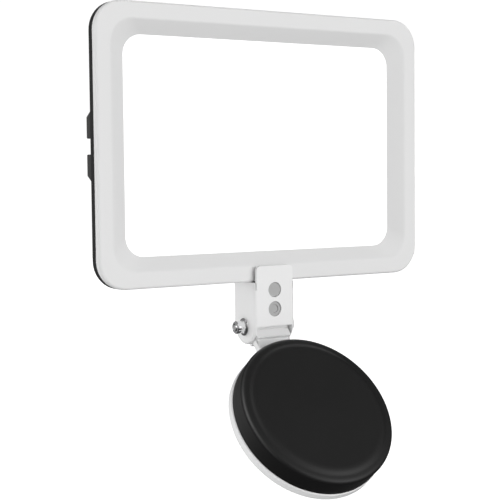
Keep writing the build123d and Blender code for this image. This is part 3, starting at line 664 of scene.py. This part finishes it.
class LIGHTTABLE_OT_hinge_bolt(bpy.types.Operator):
    """Model the hinge bolt with its round head and threaded end, and the flanged nut"""

    bl_idname = "light_table.hinge_bolt"
    bl_label = "Hinge bolt and nut"

    def execute(self, context):
        s = sizes()
        shank = s.bolt_radius
        core = shank - 0.42 * MM
        total = BOLT_HIGH.x - BOLT_LOW.x
        head = (BOLT_HIGH.z - BOLT_LOW.z) / 2
        underside = total - s.head_height
        thread_end = 12 * MM
        socket = 2.0 * MM
        rings = circles(BOLT_STEPS, (core - 0.35 * MM, 0), (core, 0.4 * MM))
        rings += thread_rings(core, shank, 0.6 * MM, thread_end, s.thread_pitch)
        rings += circles(
            BOLT_STEPS, (shank, thread_end + 0.6 * MM), (shank, underside), (head - 0.2 * MM, underside),
            (head, underside + 0.2 * MM),
        )
        rings += circles(BOLT_STEPS, *((head - inset, total - drop) for inset, drop in arc(1.2 * MM, 5)))
        rings += circles(
            BOLT_STEPS, (socket + 0.2 * MM, total), (socket, total - 0.2 * MM), (socket, total - 2.4 * MM),
        )
        bolt = skin(rings)
        move_to(bolt, Matrix.Translation((BOLT_LOW.x, HINGE.y, HINGE.z)) @ TO_RIGHT)
        smooth(bolt, 40)
        finish_piece(bolt, "round_head_hinge_bolt", "panel", "chrome",
                     material_named("chrome"), "hinge_bolt")
        bolt.data.materials.append(material_named("white_head"))
        for face in bolt.data.polygons:
            if face.center.x > BOLT_HIGH.x - s.head_height - 0.1 * MM:
                face.material_index = 1

        flange = (NUT_HIGH.z - NUT_LOW.z) / 2
        height = NUT_HIGH.x - NUT_LOW.x
        hex_end = s.nut_hexagon
        collar = s.nut_collar
        across = s.nut_flats / 2 / math.cos(math.pi / 6)      # to the hexagon's corners
        bore = shank + 0.02 * MM
        rings = circles(
            NUT_STEPS, (bore, 0), (flange - 0.15 * MM, 0), (flange, 0.15 * MM), (flange, 0.6 * MM),
            (flange - 0.2 * MM, 0.8 * MM), (across, 1.5 * MM), (collar, 1.6 * MM),
            (collar, height - 0.7 * MM),
        )
        rings += circles(NUT_STEPS, *((collar - inset, height - drop) for inset, drop in arc(0.7 * MM, 4)))
        rings += circles(NUT_STEPS, (bore + 0.35 * MM, height - 0.05 * MM), (bore, height - 0.4 * MM))
        nut = skin(rings, closed=True)
        deselect()
        hex_start = 0.8 * MM
        bpy.ops.mesh.primitive_cylinder_add(
            vertices=6, radius=across, depth=hex_end - hex_start, location=(0, 0, (hex_end + hex_start) / 2)
        )
        hexagon = bpy.context.object
        bpy.ops.object.transform_apply(location=True)
        # the hexagon's corners are turned away at its outer end
        cone = skin(circles(
            96, (across + 2 * MM, 0.7 * MM), (across + 2 * MM, hex_end - 1.7 * MM),
            (across - 0.65 * MM, hex_end + 0.05 * MM),
        ))
        apply_modifier(hexagon, "BOOLEAN", operation="INTERSECT", object=cone, solver="EXACT")
        bpy.data.objects.remove(cone)
        soften(hexagon, 0.15 * MM, 2, 28)
        deselect()
        nut.select_set(True)
        hexagon.select_set(True)
        bpy.context.view_layer.objects.active = nut
        bpy.ops.object.join()
        move_to(nut, Matrix.Translation((NUT_HIGH.x, HINGE.y, HINGE.z)) @ TO_LEFT)
        smooth(nut, 30)
        finish_piece(nut, "bright_flange_nut", "panel", "chrome", material_named("chrome"), "flange_nut")
        refined("head_washer", "bolt_head_washer", "panel", "steel", material_named("steel"), 0.15 * MM)
        return {"FINISHED"}


class LIGHTTABLE_OT_arm(bpy.types.Operator):
    """Finish the hinge arm and the white base plate"""

    bl_idname = "light_table.arm"
    bl_label = "Arm and base plate"

    def execute(self, context):
        refined("hinge_arm", "white_hinge_arm", "base", "white_paint",
                material_named("white_paint"), sizes().edge_break, 3)
        refined("base_plate", "white_base_plate", "base", "white_paint",
                material_named("white_paint"), sizes().edge_break, 2)
        return {"FINISHED"}


PAD_STEPS = 160
# a tight outer round, then a shallow shoulder that swells into the contact face:
# how far in from the pad's edge and how far below its face, in millimetres
PAD_SHOULDER = (
    (0, 4.10), (0.08, 3.55), (0.30, 3.00), (0.70, 2.45), (1.25, 2.00), (1.95, 1.68), (2.80, 1.47),
    (3.70, 1.34), (4.60, 1.24), (5.30, 1.10), (6.00, 0.86), (6.70, 0.60), (7.40, 0.38), (8.20, 0.20),
    (9.20, 0.07), (10.40, 0.01), (11.60, 0),
)


class LIGHTTABLE_OT_pad(bpy.types.Operator):
    """Model the rubber cover of the magnetic pad"""

    bl_idname = "light_table.pad"
    bl_label = "Magnetic pad"

    def execute(self, context):
        low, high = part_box("pad_cover")
        radius = (high.x - low.x) / 2
        thickness = sizes().pad_thickness
        rings = circles(PAD_STEPS, (radius - 0.5 * MM, -thickness), (radius, -thickness + 0.5 * MM))
        rings += circles(PAD_STEPS, *((radius - inset * MM, -drop * MM) for inset, drop in PAD_SHOULDER))
        piece = skin(rings)
        move_to(piece, PAD_PLACE)
        smooth(piece, 40)
        finish_piece(piece, "black_rubber_pad", "base", "black_rubber",
                     material_named("black_rubber"), "pad_cover")
        return {"FINISHED"}


BUTTON_STEPS = 56


class LIGHTTABLE_OT_buttons(bpy.types.Operator):
    """Model the three buttons on the back, each with a dished cap"""

    bl_idname = "light_table.buttons"
    bl_label = "Buttons"

    def execute(self, context):
        for node in ("dimmer_button", "power_button", "brighter_button"):
            low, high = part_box(node)
            flange = (high.x - low.x) / 2
            cap = flange - 0.9 * MM
            depth = high.y - low.y
            rings = circles(BUTTON_STEPS, (flange, 0), (flange, 0.75 * MM), (cap, 0.8 * MM))
            rings += circles(BUTTON_STEPS, *((cap - inset, depth - drop) for inset, drop in arc(0.5 * MM, 4)))
            rings += circles(
                BUTTON_STEPS, (cap * 0.8, depth - 0.05 * MM), (cap * 0.5, depth - 0.28 * MM),
                (cap * 0.2, depth - 0.36 * MM),
            )
            piece = skin(rings)
            centre = (low + high) / 2
            move_to(piece, Matrix.Translation((centre.x, low.y, centre.z)) @ TO_BACK)
            smooth(piece)
            finish_piece(piece, f"round_{node}", node, "button_cap", material_named("button_cap"), node)
        return {"FINISHED"}


SCREW_SETS = (
    ("case_screws", "panel", "black_plate"),
    ("pad_screws", "base", "black_plate"),
    ("arm_screws", "base", "black_plate"),
    ("charging_socket", "panel", "steel"),
    ("spacer_block", "panel", "chips"),
    ("stem_plate", "panel", "steel"),
)


class LIGHTTABLE_OT_small_parts(bpy.types.Operator):
    """Finish the screws, the charging socket and the metal stem"""

    bl_idname = "light_table.small_parts"
    bl_label = "Small parts"

    def execute(self, context):
        for node, body, slot in SCREW_SETS:
            refined(node, f"finished_{node}", body, slot, material_named(slot), 0.12 * MM)
        return {"FINISHED"}


class LIGHTTABLE_OT_inside(bpy.types.Operator):
    """Give every part that stays as it was drawn its own finish"""

    bl_idname = "light_table.inside"
    bl_label = "Inner parts"

    def execute(self, context):
        slots = {part["node"]: part["material_slot"] for part in frame["record"]["subparts"]}
        for name, node in frame["nodes"].items():
            if not node.hide_render:
                material = material_named(slots[name])
                node.data.materials.clear()
                node.data.materials.append(material)
        return {"FINISHED"}


# ================= stage =================
CAMERA_PLACE = Vector((-447.52, -624.58, 146.77)) * MM
CAMERA_TURN = math.radians(32.3897)      # to the right of straight ahead
CAMERA_DIP = math.radians(3.511)
CAMERA_ROLL = math.radians(-0.5867)
CAMERA_LENS = 88.08
FLOOR_HEIGHT = -0.30
FLOOR_RADIUS = 6
BACKDROP_STRENGTH = 1.05     # what the camera sees of the surroundings
# each light: direction, strength, tightness
DAYLIGHT_BASE = 0.18
SOFT_LIGHTS = (
    ((0.13, -1.0, 0.18), 3.9, 8.0),
    ((-0.85, 0.50, 0.05), 3.3, 8.0),
    ((-0.70, -0.05, -0.70), 1.1, 8.0),
    ((0.45, 0.85, 0.25), 1.0, 3.0),
)
GLOSS_BASE = 0.05
GLOSS_LIGHTS = (
    ((0.50, -0.82, 0.20), 1.3, 9.0),
    ((-0.60, -0.20, 0.76), 2.6, 10.0),
    ((-0.85, -0.50, 0.10), 0.9, 30.0),
    ((-0.55, 0.83, 0.00), 0.30, 6.0),
    ((0.20, -0.20, 0.95), 0.12, 3.0),
)


class LIGHTTABLE_OT_stage(bpy.types.Operator):
    """Set the pale floor, the soft light and the camera"""

    bl_idname = "light_table.stage"
    bl_label = "Stage"

    def execute(self, context):
        self.floor()
        self.daylight()
        self.camera()
        context.scene.view_settings.view_transform = "Standard"
        return {"FINISHED"}

    def floor(self):
        deselect()
        bpy.ops.mesh.primitive_circle_add(
            vertices=96, radius=FLOOR_RADIUS, fill_type="NGON", location=(0, 0, FLOOR_HEIGHT)
        )
        floor = bpy.context.object
        bpy.ops.object.transform_apply(location=True)
        floor.name = "pale_floor"
        material, tree, shader, places = new_material("pale_floor")
        shader.inputs["Base Color"].default_value = (0.9, 0.9, 0.9, 1)
        shader.inputs["Roughness"].default_value = 0.9
        shader.inputs["Emission Color"].default_value = (1, 1, 1, 1)
        shader.inputs["Emission Strength"].default_value = 0.7
        floor.data.materials.append(material)
        floor.visible_glossy = False
        floor.visible_diffuse = False

    def daylight(self):
        """White surroundings, with separate soft lights for matt surfaces and for reflections."""
        world = bpy.data.worlds.new("studio")
        bpy.context.scene.world = world
        world.use_nodes = True
        tree = world.node_tree
        background = tree.nodes["Background"]
        direction = tree.nodes.new("ShaderNodeTexCoord").outputs["Generated"]
        # matt surfaces: one light ahead, one at the left and behind, one low at the left, one behind
        soft = self.lobes(tree, direction, DAYLIGHT_BASE, SOFT_LIGHTS)
        # gloss sees separate softboxes with dark gaps between them
        shine = self.lobes(tree, direction, GLOSS_BASE, GLOSS_LIGHTS)
        path = tree.nodes.new("ShaderNodeLightPath")
        glossy_mix = tree.nodes.new("ShaderNodeMix")
        tree.links.new(path.outputs["Is Glossy Ray"], glossy_mix.inputs["Factor"])
        tree.links.new(soft, glossy_mix.inputs["A"])
        tree.links.new(shine, glossy_mix.inputs["B"])
        camera_mix = tree.nodes.new("ShaderNodeMix")
        tree.links.new(path.outputs["Is Camera Ray"], camera_mix.inputs["Factor"])
        tree.links.new(glossy_mix.outputs["Result"], camera_mix.inputs["A"])
        camera_mix.inputs["B"].default_value = BACKDROP_STRENGTH
        tree.links.new(camera_mix.outputs["Result"], background.inputs["Color"])
        background.inputs["Strength"].default_value = 1.0

    @staticmethod
    def lobes(tree, direction, base, lights):
        """Light from round patches of sky: each has a direction, a strength and a tightness."""
        total = base
        for place, strength, tightness in lights:
            toward = tree.nodes.new("ShaderNodeVectorMath")
            toward.operation = "DOT_PRODUCT"
            toward.inputs[1].default_value = Vector(place).normalized()
            tree.links.new(direction, toward.inputs[0])
            facing = math_node(tree, "MAXIMUM", toward.outputs["Value"], 0.0)
            lobe = math_node(tree, "MULTIPLY", math_node(tree, "POWER", facing, tightness), strength)
            total = math_node(tree, "ADD", lobe, total)
        return total

    def camera(self):
        ahead = Vector((
            math.sin(CAMERA_TURN) * math.cos(CAMERA_DIP),
            math.cos(CAMERA_TURN) * math.cos(CAMERA_DIP),
            -math.sin(CAMERA_DIP),
        ))
        right = Vector((math.cos(CAMERA_TURN), -math.sin(CAMERA_TURN), 0))
        down = ahead.cross(right)
        rolled_right = right * math.cos(CAMERA_ROLL) - down * math.sin(CAMERA_ROLL)
        rolled_down = right * math.sin(CAMERA_ROLL) + down * math.cos(CAMERA_ROLL)
        bpy.ops.object.camera_add(location=CAMERA_PLACE)
        camera = bpy.context.object
        camera.name = "viewpoint"
        turn = Matrix((rolled_right, -rolled_down, -ahead)).transposed()
        camera.rotation_euler = turn.to_euler()
        camera.data.lens = CAMERA_LENS
        camera.data.sensor_width = 36
        camera.data.clip_start = 0.01
        bpy.context.scene.camera = camera


PIECE_OPERATORS = (
    LIGHTTABLE_OT_front_frame,
    LIGHTTABLE_OT_shell,
    LIGHTTABLE_OT_bracket,
    LIGHTTABLE_OT_plugs,
    LIGHTTABLE_OT_hinge_bolt,
    LIGHTTABLE_OT_arm,
    LIGHTTABLE_OT_pad,
    LIGHTTABLE_OT_buttons,
    LIGHTTABLE_OT_small_parts,
    LIGHTTABLE_OT_inside,
    LIGHTTABLE_OT_stage,
)


class LIGHTTABLE_PT_panel(bpy.types.Panel):
    """Buttons for the light table's pieces"""

    bl_idname = "LIGHTTABLE_PT_panel"
    bl_label = "Light table"
    bl_space_type = "VIEW_3D"
    bl_region_type = "UI"
    bl_category = "Light table"

    def draw(self, context):
        for group in (context.scene.light_table_sizes, context.scene.light_table_colours):
            for name in group.bl_rna.properties.keys():
                if name not in ("rna_type", "name"):
                    self.layout.prop(group, name)
        for operator in PIECE_OPERATORS:
            self.layout.operator(operator.bl_idname)


CLASSES = (LightTableSizes, LightTableColours, *PIECE_OPERATORS, LIGHTTABLE_PT_panel)


def register():
    for item in CLASSES:
        bpy.utils.register_class(item)
    bpy.types.Scene.light_table_sizes = bpy.props.PointerProperty(type=LightTableSizes)
    bpy.types.Scene.light_table_colours = bpy.props.PointerProperty(type=LightTableColours)


def unregister():
    del bpy.types.Scene.light_table_colours
    del bpy.types.Scene.light_table_sizes
    for item in reversed(CLASSES):
        bpy.utils.unregister_class(item)


def main():
    register()
    bpy.ops.light_table.stage()
    bpy.ops.light_table.front_frame()
    bpy.ops.light_table.shell()
    bpy.ops.light_table.bracket()
    bpy.ops.light_table.plugs()
    bpy.ops.light_table.hinge_bolt()
    bpy.ops.light_table.arm()
    bpy.ops.light_table.pad()
    bpy.ops.light_table.buttons()
    bpy.ops.light_table.small_parts()
    bpy.ops.light_table.inside()


if __name__ == "__main__":
    main()
